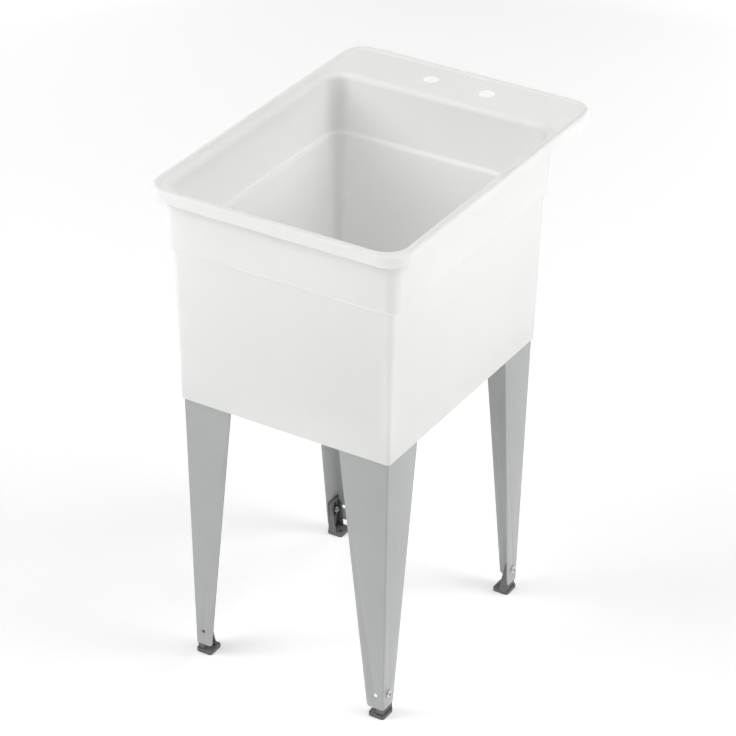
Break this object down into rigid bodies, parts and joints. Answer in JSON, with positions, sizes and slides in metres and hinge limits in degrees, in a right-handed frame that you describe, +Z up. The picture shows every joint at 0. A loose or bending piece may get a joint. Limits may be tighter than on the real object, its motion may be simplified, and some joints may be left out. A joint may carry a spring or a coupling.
{
  "type": "utility laundry sink",
  "caption": "Free-standing laundry tub: deep moulded basin with a tap deck, on angle-steel legs with levelling feet, with a waste fitting and a lift-out stopper.",
  "frame": {"origin": "on the floor, under the middle of the rim's outline", "axes": "+X to the right seen from the front, +Y to the back where the tap deck is, +Z up"},
  "size_m": [0.4468, 0.6098, 0.86],
  "materials": {
    "tub_plastic": "white moulded plastic with a soft satin sheen",
    "leg_paint": "light grey satin powder coat",
    "foot_plastic": "dark grey moulded plastic",
    "bolt_steel": "zinc plated steel",
    "drain_steel": "satin stainless steel",
    "drain_rubber": "black rubber",
    "drain_fibre": "brown pressed fibre",
    "fitting_plastic": "white moulded plastic",
    "stopper_rubber": "black moulded rubber"
  },
  "bodies": {
    "sink": {"tub": "tub_plastic", "leg_front_left": "leg_paint", "leg_front_right": "leg_paint", "leg_back_left": "leg_paint", "leg_back_right": "leg_paint", "foot_bolt_front_left": "bolt_steel", "foot_bolt_front_right": "bolt_steel", "foot_bolt_back_left": "bolt_steel", "foot_bolt_back_right": "bolt_steel", "foot_nut_front_left": "bolt_steel", "foot_nut_front_right": "bolt_steel", "foot_nut_back_left": "bolt_steel", "foot_nut_back_right": "bolt_steel", "drain_body": "drain_steel", "drain_gasket": "drain_rubber", "drain_friction_ring": "drain_fibre", "drain_locknut": "fitting_plastic", "tailpiece_washer": "drain_rubber", "drain_tailpiece": "fitting_plastic", "slip_nut": "fitting_plastic"},
    "foot_front_left": {"foot_front_left": "foot_plastic"},
    "foot_front_right": {"foot_front_right": "foot_plastic"},
    "foot_back_left": {"foot_back_left": "foot_plastic"},
    "foot_back_right": {"foot_back_right": "foot_plastic"},
    "stopper": {"stopper": "stopper_rubber"}
  },
  "joints": [
    {"name": "level_foot_front_left", "type": "slide", "parent": "sink", "child": "foot_front_left", "axis": [0.0152, 0.0152, -0.9998], "range_m": [-0.01, 0.01]},
    {"name": "level_foot_front_right", "type": "slide", "parent": "sink", "child": "foot_front_right", "axis": [-0.0152, 0.0152, -0.9998], "range_m": [-0.01, 0.01]},
    {"name": "level_foot_back_left", "type": "slide", "parent": "sink", "child": "foot_back_left", "axis": [0.0152, -0.0152, -0.9998], "range_m": [-0.01, 0.01]},
    {"name": "level_foot_back_right", "type": "slide", "parent": "sink", "child": "foot_back_right", "axis": [-0.0152, -0.0152, -0.9998], "range_m": [-0.01, 0.01]},
    {"name": "lift_stopper", "type": "slide", "parent": "sink", "child": "stopper", "axis": [0, 0, 1], "range_m": [0, 0.38]}
  ]
}
